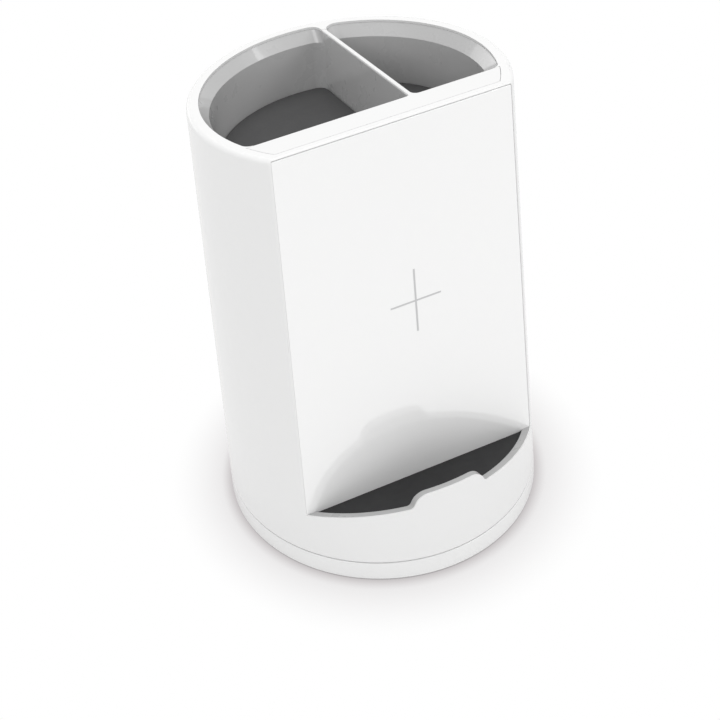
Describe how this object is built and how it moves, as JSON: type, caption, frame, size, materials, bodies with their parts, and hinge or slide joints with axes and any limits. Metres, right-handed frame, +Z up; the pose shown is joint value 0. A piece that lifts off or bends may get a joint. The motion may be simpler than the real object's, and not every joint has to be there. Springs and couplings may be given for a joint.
{
  "type": "wireless charger pen holder",
  "caption": "Round tapered desk pen holder with a divided top, a flat upright wireless charging panel, a phone tray with a raised stop, and a swivel base.",
  "frame": {"origin": "centre of the round footprint, on the table", "axes": "+Z up, front with the charging panel towards -Y, +X to the right when the front is seen"},
  "size_m": [0.088, 0.088, 0.1241],
  "materials": {
    "drum_shell": "moulded gloss white",
    "deck_trim": "moulded satin white",
    "front_panel": "high gloss white",
    "charging_mark": "thin grey line",
    "tray_liner": "satin light grey",
    "tray_pad": "matt dark rubber",
    "well_insert": "satin light grey",
    "well_mat": "matt dark rubber",
    "bottom_cover": "moulded white",
    "swivel_base": "moulded gloss white",
    "glide_ring": "slippery natural plastic",
    "foot_ring": "soft grey rubber",
    "steel": "plated steel",
    "carrier": "moulded black",
    "winding": "lacquered copper wire",
    "shield": "sintered dark sheet",
    "insulation": "soft wire insulation",
    "board": "green lacquered laminate",
    "component": "moulded dark body",
    "can": "bare metal can",
    "film": "dipped film body"
  },
  "bodies": {
    "base": {"swivel_base": "swivel_base", "glide_ring": "glide_ring", "foot_ring": "foot_ring", "hub_washer": "steel", "hub_screw": "steel"},
    "drum": {"drum_shell": "drum_shell", "deck_trim": "deck_trim", "front_panel": "front_panel", "charging_mark": "charging_mark", "tray_liner": "tray_liner", "tray_pad": "tray_pad", "well_insert": "well_insert", "left_well_mat": "well_mat", "right_well_mat": "well_mat", "bottom_cover": "bottom_cover", "cover_screws": "steel", "insert_screws": "steel", "board_screws": "steel", "carrier_screws": "steel", "coil_carrier": "carrier", "charging_coil": "winding", "coil_shield": "shield", "coil_leads": "insulation", "circuit_board": "board", "power_inlet": "steel", "inlet_tongue": "component", "controller_chips": "component", "choke": "component", "can_capacitor": "can", "film_capacitors": "film", "small_components": "component"}
  },
  "joints": [
    {"name": "swivel", "type": "hinge", "parent": "base", "child": "drum", "pos_m": [0, 0, 0.00645], "axis": [0, 0, 1], "continuous": true}
  ]
}
